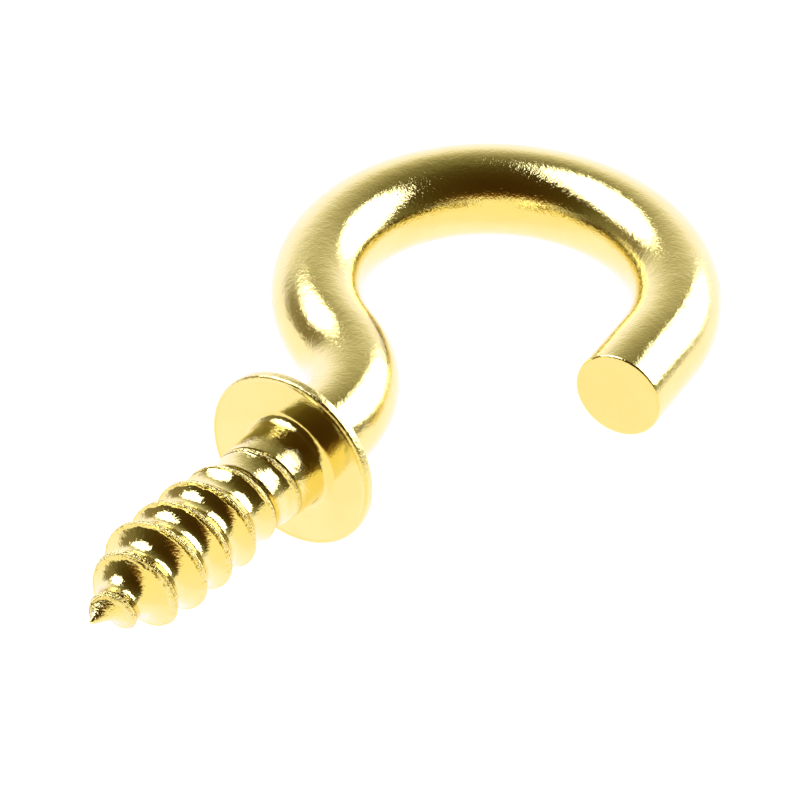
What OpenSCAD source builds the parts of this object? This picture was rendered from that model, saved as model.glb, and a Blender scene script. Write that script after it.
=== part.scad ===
// Shouldered cup hook: one length of plated wire with a rolled wood-screw
// thread, a thin round collar that seats on the wood, and a bow that turns
// back towards the collar.
//
// The collar's screw-side face lies at z = 0 with the screw pointing up
// along +Z. The hook hangs below it in the XZ plane, its free end on the
// +X side.

/* [Wire] */
// Diameter of the wire that the hook is bent from
wire_d = 3; // [2.6:0.1:3.4]
// Bevel that breaks the edge of the free end's cut face
end_bevel = 0.1; // [0.05:0.05:0.3]

/* [Hook] */
// Straight wire between the collar's back face and the first bend
neck_len = 1.6; // [0.8:0.1:4]
// Radius of the first bend, to the wire's centre line
neck_bend_r = 4.3; // [2.5:0.1:6]
// Angle of the first bend, away from the free end
neck_bend_angle = 62; // [50:1:75]
// Straight wire between the first bend and the bow
link_len = 0.4; // [0.1:0.1:2]
// Radius of the bow, to the wire's centre line
bow_r = 5.8; // [5.2:0.1:8]
// Angle that the bow turns through
bow_angle = 233.5; // [215:0.5:245]
// Straight wire after the bow, up to the cut face
end_len = 2.8; // [1:0.1:4]

/* [Collar] */
// Outer diameter of the collar
collar_d = 6.1; // [5:0.1:9]
// Thickness of the collar
collar_t = 0.4; // [0.3:0.05:1]
// Rounding of the collar's outer edges
collar_edge_r = 0.12; // [0.05:0.01:0.14]
// Rounding where the wire meets the collar, on both faces
collar_fillet_r = 0.2; // [0.1:0.05:0.5]

/* [Screw] */
// Length from the seating face to the screw's point
screw_len = 10.4; // [8.5:0.1:16]
// Plain shank between the seating face and the thread
shank_len = 1.2; // [0.8:0.1:2]
// Distance between neighbouring turns of the thread
thread_pitch = 1.3; // [1.1:0.05:1.6]
// Diameter over the crests of the full thread
crest_d = 3.48; // [3.4:0.02:3.8]
// Diameter of the core between the crests of the full thread
core_d = 2.64; // [2.3:0.02:2.8]
// Width of the flat on the full thread's crest
crest_w = 0.15; // [0.08:0.01:0.2]
// Axial width of the flank that faces the point
lead_flank_w = 0.36; // [0.2:0.02:0.44]
// Hollowness of the groove: 1 is a straight slope, more is a flatter floor
groove_power = 3; // [1.4:0.1:4]
// Turns over which the groove's floor sinks from the shank's radius to the core
sink_turns = 1.1; // [0.8:0.1:1.6]
// Turns after which the crests have come up to their full height
rise_turns = 2.2; // [1.7:0.1:2.6]
// Length of the tapered point, measured over the crests
crest_point_len = 3.2; // [2.4:0.1:3.8]
// Length of the tapered point, measured on the core
core_point_len = 3.6; // [2.8:0.1:4.2]
// Bluntness of the point over the crests: 1 is a straight cone
point_power = 1.5; // [1:0.1:2]
// Turn of the thread about the screw's axis
thread_turn = 115; // [0:5:355]

/* [Hidden] */

// Plated brass
brass = [0.93, 0.79, 0.42];

// Facets of a full circle on the wire and along a bend, steps of the thread in
// one turn, and steps of a small rounding and of the groove's hollow
round_fn = 64;
bend_fn = 128;
turn_steps = 48;
arc_steps = 6;
groove_steps = 7;

wire_r = wire_d / 2;
collar_r = collar_d / 2;
// The straight stretches are a hair thinner than the bends and run a little
// way into them, so that one solid ends inside the next
hair = 0.002;
straight_r = wire_r - hair;
run_in = 0.05;

// Heading of the wire after each bend, in the XZ plane
neck_heading = -90 - neck_bend_angle;
bow_heading = neck_heading + bow_angle;

// Centres and joints of the bends along the wire's centre line
neck_start = [0, -collar_t - neck_len];
neck_centre = neck_start + [-neck_bend_r, 0];
neck_end = neck_centre + neck_bend_r * heading(-neck_bend_angle);
link_end = neck_end + link_len * heading(neck_heading);
bow_centre = link_end + bow_r * heading(neck_heading + 90);
bow_end = bow_centre + bow_r * heading(bow_heading - 90);

// Bevel at the end of the plain shank, as length and depth, and its ledge
// round the rolled part, whose radius this gives
shank_bevel = [0.1, 0.02];
shank_ledge = 0.01;
rolled_r = straight_r - shank_bevel.y - shank_ledge;

// Levels of the thread along the screw: where its first row lies inside the
// shank, where the groove starts to sink and reaches the core, where the
// crests start to rise and are full, and where the point begins
buried_depth = 0.2;
groove_delay = 0.1;
rise_delay_turns = 0.5;
thread_buried = shank_len - thread_pitch - buried_depth;
sink_start = shank_len + groove_delay;
sink_end = sink_start + sink_turns * thread_pitch;
rise_start = sink_start + rise_delay_turns * thread_pitch;
rise_end = sink_start + rise_turns * thread_pitch;
crest_point_z = screw_len - crest_point_len;
core_point_z = screw_len - core_point_len;
// Distance from the tip at which the point's skin closes
tip_clear = 0.06;

// The thread's profile over one pitch, as [height, share of the thread's
// depth]. It climbs out of the round-bottomed groove, crosses the crest and
// drops down the slanting flank that faces the point. The flank's foot eases
// into the next groove at these shares of its width and of the depth.
foot_width = 0.8;
foot_depth = 0.1;
groove_w = thread_pitch - crest_w - lead_flank_w;
profile = concat(
    [for (k = [0:groove_steps]) let (u = k / groove_steps) [groove_w * u, pow(u, groove_power)]],
    [[groove_w + crest_w, 1], [groove_w + crest_w + lead_flank_w * foot_width, foot_depth]]
);

// Unit vector of a heading in the XZ plane
function heading(a) = [cos(a), sin(a)];

// Share of the way from one level to another, held between 0 and 1
function share(z, from, to) = max(0, min(1, (z - from) / (to - from)));

// Blunted taper of the point: 1 on the full body, 0 at the tip
function taper(z, from) = let (s = share(z, from, screw_len)) 1 - pow(s, point_power);

// Radius over the crests and of the groove's floor at a height. Where the
// thread starts, both are the rolled shank's own radius.
function crest_r_at(z) =
    (rolled_r + (crest_d / 2 - rolled_r) * share(z, rise_start, rise_end)) * taper(z, crest_point_z);
function floor_r_at(z) =
    (rolled_r + (core_d / 2 - rolled_r) * share(z, sink_start, sink_end)) *
    (1 - share(z, core_point_z, screw_len));

// Surface radius at a height, for a share of the thread's depth there
function thread_r(z, height) = floor_r_at(z) + height * (crest_r_at(z) - floor_r_at(z));

// Points of an arc from angle a to angle b
function arc(centre, r, a, b) =
    [for (k = [0:arc_steps]) centre + r * heading(a + (b - a) * k / arc_steps)];

// Height of a vertex of the thread: rows follow the helix, columns are steps
// round the screw
rows = len(profile);
turns = ceil((screw_len - thread_buried) / thread_pitch);
function row_z(i, j) =
    thread_buried + thread_pitch * (floor(j / rows) + i / turn_steps) + profile[j % rows][0];
function vertex(i, j) =
    let (z = row_z(i, j), a = 360 * i / turn_steps, r = thread_r(z, profile[j % rows][1]))
    [r * cos(a), r * sin(a), z];

// Number of a vertex. A full turn on, a row meets the row one pitch up, and
// every vertex at the very tip is the tip itself.
function id(i, j) =
    i == turn_steps ? id(0, j + rows) :
    row_z(i, j) > screw_len - tip_clear ? tip_id : j * turn_steps + i;
vertex_count = (turns + 2) * rows * turn_steps;
root_id = vertex_count;
tip_id = vertex_count + 1;

// Rolled wood-screw thread with its core and gimlet point, as one closed skin
module thread() {
    points = concat(
        [for (j = [0:(turns + 2) * rows - 1], i = [0:turn_steps - 1]) vertex(i, j)],
        [[0, 0, thread_buried + thread_pitch / 2], [0, 0, screw_len]]
    );
    skin = [
        for (j = [0:turns * rows - 1], i = [0:turn_steps - 1], t = [
            [id(i, j), id(i, j + 1), id(i + 1, j + 1)],
            [id(i, j), id(i + 1, j + 1), id(i + 1, j)],
        ]) t
    ];
    buried_end = concat(
        [for (i = [0:turn_steps - 1]) [id(i, 0), id(i + 1, 0), root_id]],
        [for (j = [0:rows - 1]) [id(0, j + 1), id(0, j), root_id]]
    );
    whole = [for (t = concat(skin, buried_end)) if (t[0] != t[1] && t[1] != t[2] && t[2] != t[0]) t];
    rotate([0, 0, thread_turn])
        polyhedron(points = points, faces = whole);
}

// Plain shank, seating collar and neck, turned as one profile
module collar_and_neck() {
    f = collar_fillet_r;
    e = collar_edge_r;
    rotate_extrude($fn = round_fn)
        polygon(concat(
            [[0, shank_len], [straight_r - shank_bevel.y, shank_len]],
            [[straight_r, shank_len - shank_bevel.x]],
            arc([straight_r + f, f], f, 180, 270),
            arc([collar_r - e, -e], e, 90, 0),
            arc([collar_r - e, e - collar_t], e, 0, -90),
            arc([straight_r + f, -collar_t - f], f, 90, 180),
            [[straight_r, neck_start.y - run_in], [0, neck_start.y - run_in]]
        ));
}

// Round wire bent about a centre in the XZ plane, between two angles
module bend(centre, r, from, to) {
    translate([centre.x, 0, centre.y])
        rotate([90, 0, 0])
            rotate([0, 0, from])
                rotate_extrude(angle = to - from, $fn = bend_fn)
                    translate([r, 0])
                        circle(r = wire_r, $fn = round_fn);
}

// Stands its children on a point of the XZ plane, along a heading
module along(start, a) {
    translate([start.x, 0, start.y])
        rotate([0, 90 - a, 0])
            children();
}

// Straight wire between the neck bend and the bow
module link() {
    along(neck_end, neck_heading)
        translate([0, 0, -run_in])
            cylinder(h = link_len + 2 * run_in, r = straight_r, $fn = round_fn);
}

// Straight free end, with the broken edge of its cut face
module free_end() {
    along(bow_end, bow_heading)
        rotate_extrude($fn = round_fn)
            polygon([
                [0, -run_in],
                [straight_r, -run_in],
                [straight_r, end_len - end_bevel],
                [straight_r - end_bevel, end_len],
                [0, end_len],
            ]);
}

module cup_hook() {
    color(brass) {
        thread();
        collar_and_neck();
        bend(neck_centre, neck_bend_r, -neck_bend_angle, 0);
        link();
        bend(bow_centre, bow_r, neck_heading - 90, bow_heading - 90);
        free_end();
    }
}

cup_hook();
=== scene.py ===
import math

import bpy
from mathutils import Matrix, Vector


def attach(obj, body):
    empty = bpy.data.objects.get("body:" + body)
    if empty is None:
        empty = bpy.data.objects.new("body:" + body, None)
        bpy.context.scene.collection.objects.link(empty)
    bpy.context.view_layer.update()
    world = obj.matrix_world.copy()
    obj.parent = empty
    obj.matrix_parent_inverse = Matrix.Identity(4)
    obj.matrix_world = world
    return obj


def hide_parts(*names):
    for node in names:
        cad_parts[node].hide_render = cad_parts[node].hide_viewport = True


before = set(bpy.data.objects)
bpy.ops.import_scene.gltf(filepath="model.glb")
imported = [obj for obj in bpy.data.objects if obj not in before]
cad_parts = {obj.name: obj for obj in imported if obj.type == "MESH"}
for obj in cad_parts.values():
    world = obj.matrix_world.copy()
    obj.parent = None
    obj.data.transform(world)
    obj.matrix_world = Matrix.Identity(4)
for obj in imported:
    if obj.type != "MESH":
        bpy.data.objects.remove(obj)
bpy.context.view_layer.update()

# The view. A long lens looks down on the hook from the side of its screw, and
# is rolled so that the screw's point lies lower left and the bow upper right.
camera_spot = Vector((0.15551528, 0.20792865, 0.21618656))
view_right = Vector((0.80664, 0.02743, -0.59040))
view_up = Vector((-0.37834, 0.79141, -0.48013))
view_back = Vector((0.45408, 0.61067, 0.64877))
bpy.ops.object.camera_add(location=camera_spot)
camera = bpy.context.object
camera.name = "camera"
camera.rotation_mode = "QUATERNION"
camera.rotation_quaternion = Matrix((view_right, view_up, view_back)).transposed().to_quaternion()
camera.data.sensor_width = 36
camera.data.lens = 479.93
camera.data.clip_start = 0.01
bpy.context.scene.camera = camera
bpy.context.scene.view_settings.view_transform = "Standard"

# The wire. One length of round brass wire, 3 mm thick, bent cold into an S:
# it leaves the collar, swings aside, and then turns back round as the bow. Its
# end is cut square and lightly broken round the edge.
wire_r = 0.0015
collar_t = 0.0004
neck_len = 0.0016
neck_bend_r = 0.0043
neck_bend_angle = math.radians(62)
link_len = 0.0004
bow_r = 0.0058
bow_angle = math.radians(233.5)
end_len = 0.0028
end_round = 0.00008
wire_facets = 96
neck_steps, bow_steps, end_steps = 40, 150, 5


def heading(angle):
    """Unit vector at an angle in the hook's own plane."""
    return Vector((math.cos(angle), 0, math.sin(angle)))


def edit_selected(name):
    """Names the new object and opens its mesh with all of it selected."""
    made = bpy.context.object
    made.name = made.data.name = name
    bpy.ops.object.mode_set(mode="EDIT")
    bpy.ops.mesh.select_all(action="SELECT")
    return made


def draw_on(step, scale=1):
    """Extrudes what is selected by a step, and scales the new ring."""
    bpy.ops.mesh.extrude_region_move(TRANSFORM_OT_translate={"value": step})
    if scale != 1:
        bpy.ops.transform.resize(value=(scale, scale, scale))


def close_piece(made, sharp_angle):
    """Closes slits, turns the faces outwards and smooths the mesh, its flats kept flat."""
    bpy.ops.mesh.select_all(action="SELECT")
    bpy.ops.mesh.remove_doubles(threshold=1e-7)
    bpy.ops.mesh.fill_holes(sides=3)
    bpy.ops.mesh.select_all(action="SELECT")
    bpy.ops.mesh.normals_make_consistent(inside=False)
    bpy.ops.object.mode_set(mode="OBJECT")
    bpy.ops.object.transform_apply(location=True, rotation=True, scale=True)
    bpy.ops.object.shade_smooth_by_angle(angle=math.radians(sharp_angle))
    flat = made.modifiers.new("flat", "WEIGHTED_NORMAL")
    flat.weight = 90
    flat.keep_sharp = True
    bpy.ops.object.modifier_apply(modifier="flat")
    made.select_set(False)


neck_heading = -math.pi / 2 - neck_bend_angle
bow_heading = neck_heading + bow_angle
neck_start = Vector((0, 0, -collar_t - neck_len))
neck_centre = neck_start + Vector((-neck_bend_r, 0, 0))
neck_end = neck_centre + neck_bend_r * heading(-neck_bend_angle)
link_end = neck_end + link_len * heading(neck_heading)
bow_centre = link_end + bow_r * heading(neck_heading + math.pi / 2)

bpy.ops.object.select_all(action="DESELECT")
bpy.ops.mesh.primitive_circle_add(
    vertices=wire_facets, radius=wire_r, fill_type="NGON", location=(0, 0, -collar_t / 2)
)
wire = edit_selected("wire")
draw_on((0, 0, -collar_t / 2 - neck_len))
bpy.ops.mesh.spin(steps=neck_steps, angle=neck_bend_angle, center=neck_centre, axis=(0, -1, 0))
draw_on(link_len * heading(neck_heading))
bpy.ops.mesh.spin(steps=bow_steps, angle=-bow_angle, center=bow_centre, axis=(0, -1, 0))
draw_on((end_len - end_round) * heading(bow_heading))
for k in range(end_steps):
    now, then = (math.radians(90 * i / end_steps) for i in (k, k + 1))
    rings = [wire_r - end_round * (1 - math.cos(a)) for a in (now, then)]
    step = end_round * (math.sin(then) - math.sin(now))
    draw_on(step * heading(bow_heading), rings[1] / rings[0])
close_piece(wire, sharp_angle=30)


class Finish:
    """A socket of a material. Arithmetic on it adds Math nodes, node() adds any other."""

    def __init__(self, tree, socket=None):
        self.tree, self.socket = tree, socket

    def plug(self, target, value):
        if isinstance(value, Finish):
            self.tree.links.new(value.socket, target)
        else:
            target.default_value = value

    def node(self, kind, settings=(), sockets=(), out=0):
        made = self.tree.nodes.new(kind)
        for name, value in dict(settings).items():
            if name == "stops":
                ramp = made.color_ramp
                while len(ramp.elements) < len(value):
                    ramp.elements.new(0.5)
                for stop, (place, colour) in zip(ramp.elements, value):
                    stop.position, stop.color = place, (*colour, 1)
            else:
                setattr(made, name, value)
        for name, value in dict(sockets).items():
            self.plug(made.inputs[name], value)
        return Finish(self.tree, made.outputs[out])

    def maths(self, operation, *values):
        return self.node("ShaderNodeMath", {"operation": operation}, dict(enumerate(values)))

    def __add__(self, other):
        return self.maths("ADD", self, other)

    __radd__ = __add__

    def __sub__(self, other):
        return self.maths("SUBTRACT", self, other)

    def __rsub__(self, other):
        return self.maths("SUBTRACT", other, self)

    def __mul__(self, other):
        return self.maths("MULTIPLY", self, other)

    __rmul__ = __mul__

    def rise(self, low, high):
        """0 below low, 1 above high, and smooth between them."""
        return self.node(
            "ShaderNodeMapRange",
            {"interpolation_type": "SMOOTHSTEP"},
            {"Value": self, "From Min": low, "From Max": high},
        )

    def blend(self, first, second):
        """Mixes two colours by this value."""
        return self.node(
            "ShaderNodeMix",
            {"data_type": "RGBA"},
            {0: self, 6: first, 7: second},
            out=2,
        )


def plated_brass(name, grain, roughness, worked=None, ripple=1):
    """Bright plating over pebbled brass: two sizes of grain, slow waves and small pits.

    ripple strengthens the coarse grain and the waves. Where worked, a function
    of the material's nodes, gives more than 0, all the grain is that much deeper.
    """
    material = bpy.data.materials.new(name)
    material.use_nodes = True
    tree = material.node_tree
    tree.nodes.clear()
    bench = Finish(tree)
    place = bench.node("ShaderNodeTexCoord", out=3)

    def noise(scale, detail, rough):
        return bench.node(
            "ShaderNodeTexNoise",
            {},
            {"Vector": place, "Scale": scale, "Detail": detail, "Roughness": rough},
        )

    fine = noise(17000, 2, 0.55)
    coarse = noise(7500, 2, 0.5)
    waves = noise(2200, 2, 0.5)
    pits = noise(14000, 1, 0.5).rise(0.6, 0.78)
    height = fine * 1.1 + coarse * (1.2 * ripple) + waves * (1.8 * ripple) - pits * 0.3
    if worked:
        height = height * (worked(bench, place) + 1)
    normal = bench.node(
        "ShaderNodeBump", {}, {"Strength": 1, "Distance": grain, "Height": height}
    )
    pale_brass, deep_brass = (0.96, 0.85, 0.42, 1), (0.945, 0.825, 0.385, 1)
    colour = noise(700, 3, 0.55).rise(0.35, 0.7).blend(pale_brass, deep_brass)
    rough = roughness + fine * 0.06 + pits * 0.12
    skin = bench.node(
        "ShaderNodeBsdfPrincipled",
        {},
        {"Base Color": colour, "Metallic": 1, "Roughness": rough, "Normal": normal},
    )
    end = tree.nodes.new("ShaderNodeOutputMaterial")
    tree.links.new(skin.socket, end.inputs["Surface"])
    return material


brass_wire = plated_brass("brass_wire", grain=5.5e-6, roughness=0.05)
wire.data.materials.append(brass_wire)
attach(wire, "root")

# The collar. A thin round flange of the same plated brass, upset on the wire,
# with rounded rims and a fillet on each side. Its screw side seats on the
# wood, and the plain shank above it starts to narrow just below the thread.
collar_r = 0.00305
collar_edge_r = 0.00012
collar_fillet_r = 0.0002
shank_fillet_r = 0.0003
shank_r = 0.0015
shank_len = 0.0012
shank_break = 0.0009
shank_slope = 0.066
collar_facets = 160
rim_from, rim_full = 0.00286, 0.00298
rim_coarse, shank_coarse = 8, 3


def arc(r, z, size, start, end, steps=8):
    """Rings of a quarter-round about a circle of radius r at height z."""
    angles = [math.radians(start + (end - start) * k / steps) for k in range(steps + 1)]
    return [(r + size * math.cos(a), z + size * math.sin(a)) for a in angles]


rings = arc(shank_r + collar_fillet_r, -collar_t - collar_fillet_r, collar_fillet_r, 180, 90)
rings += arc(collar_r - collar_edge_r, collar_edge_r - collar_t, collar_edge_r, -90, 0)
rings += arc(collar_r - collar_edge_r, -collar_edge_r, collar_edge_r, 0, 90)
rings += arc(shank_r + shank_fillet_r, shank_fillet_r, shank_fillet_r, 270, 180)
rings += [(shank_r, shank_break)]
rings += [(shank_r - shank_slope * (shank_len - shank_break), shank_len)]
bpy.ops.mesh.primitive_circle_add(
    vertices=collar_facets, radius=rings[0][0], fill_type="NGON", location=(0, 0, rings[0][1])
)
collar = edit_selected("collar")
for (r, z), (next_r, next_z) in zip(rings, rings[1:]):
    draw_on((0, 0, next_z - z), next_r / r)
close_piece(collar, sharp_angle=30)


def rim_grain(bench, place):
    """The rim, the fillet and the shank are coarser than the collar's flats."""
    parts = bench.node("ShaderNodeSeparateXYZ", {}, {"Vector": place})
    x, y = (Finish(parts.tree, parts.socket.node.outputs[k]) for k in range(2))
    r = bench.maths("SQRT", x * x + y * y)
    shank = 1 - r.rise(shank_r, shank_r + shank_fillet_r)
    return r.rise(rim_from, rim_full) * rim_coarse + shank * shank_coarse


brass_collar = plated_brass("brass_collar", grain=1.5e-6, roughness=0.05, worked=rim_grain)
collar.data.materials.append(brass_collar)
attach(collar, "root")

# The screw. A right-hand wood thread rolled on the end of the wire, plated
# with it. Its round groove sinks quickly into the shank, the rolls leave a seam
# along its crests, and it ends in a gimlet point.
screw_len = 0.0104
thread_pitch = 0.0013
thread_turn = math.radians(115)
crest_r, core_r = 0.00174, 0.00137
crest_w = 0.00015
lead_flank_w = 0.00053
back_flank_w = thread_pitch - crest_w - lead_flank_w
back_power, lead_power = 2.5, 2
sink_start, sink_end = 0.0016, 0.0019
rise_delay_turns, rise_turns = 0.6, 2.3
rise_start = shank_len + rise_delay_turns * thread_pitch
rise_end = shank_len + rise_turns * thread_pitch
crest_point_len, core_point_len = 0.0032, 0.0036
crest_power, core_power = 1.5, 1.35
seam_depth = 0.06
buried_len = 0.0002
tip_cut = 0.00003
turn_steps = 96
flank_steps = 12

# At the thread's own turn, a crest's edge passes this far below the shank's end
crest_edge_drop = 0.00056
thread_buried = shank_len - 2 * thread_pitch + lead_flank_w - crest_edge_drop
thread_turns = 10

# The thread's profile over one pitch, as height and share of its depth: up the
# flank that faces the collar, over the crest with its seam, and down to the
# lowest line of the next groove
crest_edge = back_flank_w + crest_w
crest_shape = [(0, 0.96), (0.14, 1), (0.36, 1)]
crest_shape += [(0.5, 1 - seam_depth)]
crest_shape += [(0.64, 1), (0.86, 1), (1, 0.96)]
shares = [k / flank_steps for k in range(flank_steps)]
profile = [(back_flank_w * u, u ** back_power) for u in shares]
profile += [(back_flank_w + crest_w * u, share) for u, share in crest_shape]
profile += [(crest_edge + lead_flank_w * u, (1 - u) ** lead_power) for u in shares[1:]]
profile += [(thread_pitch, 0)]

bpy.ops.mesh.primitive_plane_add(size=0.001, location=(0, 0, 0))
screw = edit_selected("screw")
bpy.ops.mesh.merge(type="CENTER")
bpy.ops.transform.translate(value=(core_r, 0, thread_buried))
here = profile[0]
for climb, share in profile[1:]:
    step = ((share - here[1]) * (crest_r - core_r), 0, climb - here[0])
    bpy.ops.mesh.extrude_region_move(TRANSFORM_OT_translate={"value": step})
    here = (climb, share)
bpy.ops.object.mode_set(mode="OBJECT")
rolled = screw.modifiers.new("rolled", "SCREW")
rolled.axis = "Z"
rolled.screw_offset = thread_pitch
rolled.iterations = thread_turns
rolled.steps = rolled.render_steps = turn_steps
rolled.use_merge_vertices = True
rolled.merge_threshold = 1e-7
bpy.ops.object.modifier_apply(modifier="rolled")

edit_selected("screw")
bpy.ops.mesh.bisect(
    plane_co=(0, 0, screw_len - tip_cut),
    plane_no=(0, 0, 1),
    use_fill=True,
    clear_outer=True,
    threshold=1e-7,
)
bpy.ops.mesh.select_all(action="SELECT")
bpy.ops.mesh.bisect(
    plane_co=(0, 0, shank_len - buried_len),
    plane_no=(0, 0, -1),
    use_fill=True,
    clear_outer=True,
    threshold=1e-7,
)
bpy.ops.object.mode_set(mode="OBJECT")


def passed(z, start, end):
    """Share of the way from one level to another, held between 0 and 1."""
    return max(0, min(1, (z - start) / (end - start)))


for vertex in screw.data.vertices:
    x, y, z = vertex.co
    share = (math.hypot(x, y) - core_r) / (crest_r - core_r)
    plain_r = shank_r - shank_slope * (z - shank_break)
    crest = plain_r + (crest_r - plain_r) * passed(z, rise_start, rise_end)
    core = plain_r + (core_r - plain_r) * passed(z, sink_start, sink_end)
    crest *= 1 - passed(z, screw_len - crest_point_len, screw_len) ** crest_power
    core *= 1 - passed(z, screw_len - core_point_len, screw_len) ** core_power
    r = core + share * (crest - core)
    angle = math.atan2(y, x) + thread_turn
    vertex.co = (r * math.cos(angle), r * math.sin(angle), z)

edit_selected("screw")
close_piece(screw, sharp_angle=40)

# Where the grain is coarser: along the seam, in turns off it, and at the point
seam_wander = 0.08
seam_near, seam_far = 0.04, 0.12
point_from, point_full = 0.0088, 0.0098
seam_coarse, point_coarse = 5, 3


def crest_grain(bench, place):
    """The crests are coarser along their seam, and the point is coarser all over."""
    parts = bench.node("ShaderNodeSeparateXYZ", {}, {"Vector": place})
    x, y, z = (Finish(parts.tree, parts.socket.node.outputs[k]) for k in range(3))
    wander = bench.node(
        "ShaderNodeTexNoise", {}, {"Vector": place, "Scale": 2500, "Detail": 2}
    )
    turn = bench.maths("ARCTAN2", y, x) * (1 / (2 * math.pi))
    climb = z * (1 / thread_pitch) - turn + wander * seam_wander
    seam = (thread_buried + crest_edge - crest_w / 2) / thread_pitch - thread_turn / (2 * math.pi)
    turns_off = bench.maths("WRAP", climb - (seam + seam_wander / 2), 0.5, -0.5)
    near = 1 - bench.maths("ABSOLUTE", turns_off).rise(seam_near, seam_far)
    return near * seam_coarse + z.rise(point_from, point_full) * point_coarse


brass_screw = plated_brass("brass_screw", grain=4e-6, roughness=0.05, worked=crest_grain, ripple=2)
screw.data.materials.append(brass_screw)
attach(screw, "root")
for piece in (wire, collar, screw):
    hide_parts("cup_hook")

# The floor. A wide white disc that glows softly, well below the hook, which is
# held by its screw. It shows no shadow and isn't mirrored in the brass.
floor_drop = 0.06
floor_r = 3
floor_glow = 0.65
bpy.ops.mesh.primitive_circle_add(
    vertices=64, radius=floor_r, fill_type="NGON", location=(0, 0, -floor_drop)
)
floor = bpy.context.object
floor.name = "floor"
bpy.ops.object.transform_apply(location=True)
floor_white = bpy.data.materials.new("floor_white")
floor_white.use_nodes = True
paper = floor_white.node_tree.nodes["Principled BSDF"]
paper.inputs["Base Color"].default_value = (0.9, 0.9, 0.9, 1)
paper.inputs["Roughness"].default_value = 0.9
paper.inputs["Emission Color"].default_value = (1, 1, 1, 1)
paper.inputs["Emission Strength"].default_value = floor_glow
floor.data.materials.append(floor_white)
floor.visible_glossy = False
floor.visible_shadow = False

# The light. Two round softboxes stand at the sides of the set. The room in
# front is dark and warm, and a pale table and pale surroundings close it below
# and behind.
softbox_distance = 0.5
softbox_glow = 3.6


def softbox(name, azimuth, elevation, half_width, half_height):
    """A round softbox at a bearing from the lens's side of the set."""
    a, e = math.radians(azimuth), math.radians(elevation)
    side, level, front = math.sin(a) * math.cos(e), math.sin(e), math.cos(a) * math.cos(e)
    towards = side * view_right + level * view_up + front * view_back
    bpy.ops.object.light_add(type="AREA", location=towards * softbox_distance)
    lamp = bpy.context.object
    lamp.name = name
    lamp.rotation_mode = "QUATERNION"
    across = view_up.cross(towards).normalized()
    lamp.rotation_quaternion = (
        Matrix((across, towards.cross(across), towards)).transposed().to_quaternion()
    )
    lamp.data.shape = "ELLIPSE"
    width = softbox_distance * math.tan(math.radians(half_width))
    height = softbox_distance * math.tan(math.radians(half_height))
    lamp.data.size, lamp.data.size_y = 2 * width, 2 * height
    lamp.data.energy = softbox_glow * math.pi * math.pi * width * height
    lamp.visible_camera = False


softbox("softbox_left", azimuth=-63.5, elevation=55.5, half_width=25, half_height=25)
softbox("softbox_right", azimuth=92, elevation=36, half_width=28, half_height=23.5)

world = bpy.data.worlds.new("studio")
bpy.context.scene.world = world
world.use_nodes = True
tree = world.node_tree
tree.nodes.clear()
bench = Finish(tree)
sight = bench.node("ShaderNodeTexCoord", out=0)


def along(direction):
    """How far a direction of the room points along another."""
    return bench.node(
        "ShaderNodeVectorMath", {"operation": "DOT_PRODUCT"}, {0: sight, 1: direction}, out=1
    )


def room_direction(side, level, front):
    """A direction of the room, as the lens sees it."""
    return side * view_right + level * view_up + front * view_back


# Painted shade: what the brass mirrors twice sees the table lower, as if the near table lay in the
# hook's own shadow
second_bounce = bench.node("ShaderNodeLightPath", out="Glossy Depth").rise(1, 2)
painted_shade_drop = 0.3
table_up = room_direction(0.063, 0.913, 0.404)
# The table's horizon, lifted for rays mirrored twice: painted shade from the hook on the table
above_table = along(table_up) + second_bounce * painted_shade_drop
behind = along(-view_back)
depth = behind * 0.5 + 0.5
room = bench.node(
    "ShaderNodeValToRGB",
    {
        "stops": (
            (0, (0.045, 0.022, 0.003)),
            (0.125, (0.062, 0.038, 0.006)),
            (0.25, (0.09, 0.069, 0.019)),
            (0.35, (0.17, 0.143, 0.053)),
            (0.45, (0.21, 0.19, 0.09)),
            (0.55, (0.37, 0.335, 0.2)),
            (0.65, (0.58, 0.536, 0.375)),
            (0.725, (0.88, 0.851, 0.75)),
            (0.81, (1.15, 1.064, 1.2)),
            (1, (1.25, 1.11, 1.425)),
        )
    },
    {"Fac": depth},
)
table = bench.node(
    "ShaderNodeValToRGB",
    {
        "stops": (
            (0, (1.08, 0.93, 0.48)),
            (0.15, (1.08, 0.95, 0.52)),
            (0.48, (1.06, 0.95, 0.66)),
            (0.6, (1.12, 1.03, 0.9)),
            (0.85, (1.15, 1.064, 1.087)),
            (1, (1.2, 1.091, 1.35)),
        )
    },
    {"Fac": depth},
)
# Towards the lens, the room just above the table is a warm brown, and a brown
# flag hangs beside the left softbox
brim_brown, flag_brown = (0.32, 0.16, 0.03, 1), (0.22, 0.17, 0.08, 1)
brim = (1 - above_table.rise(0, 0.24)) * behind.rise(-0.6, -0.9)
room = brim.blend(room, brim_brown)
flag = along(room_direction(-0.87, 0.47, -0.15)).rise(0.9, 0.985) * 0.85
room = flag.blend(room, flag_brown)
room = above_table.rise(-0.03, 0.02).blend(table, room)
# The lens itself sees plain white
backdrop = (1.05, 1.05, 1.05, 1)
seen = bench.node("ShaderNodeLightPath", out=0).blend(room, backdrop)
glow = bench.node("ShaderNodeBackground", {}, {"Color": seen, "Strength": 1})
end = tree.nodes.new("ShaderNodeOutputWorld")
tree.links.new(glow.socket, end.inputs["Surface"])
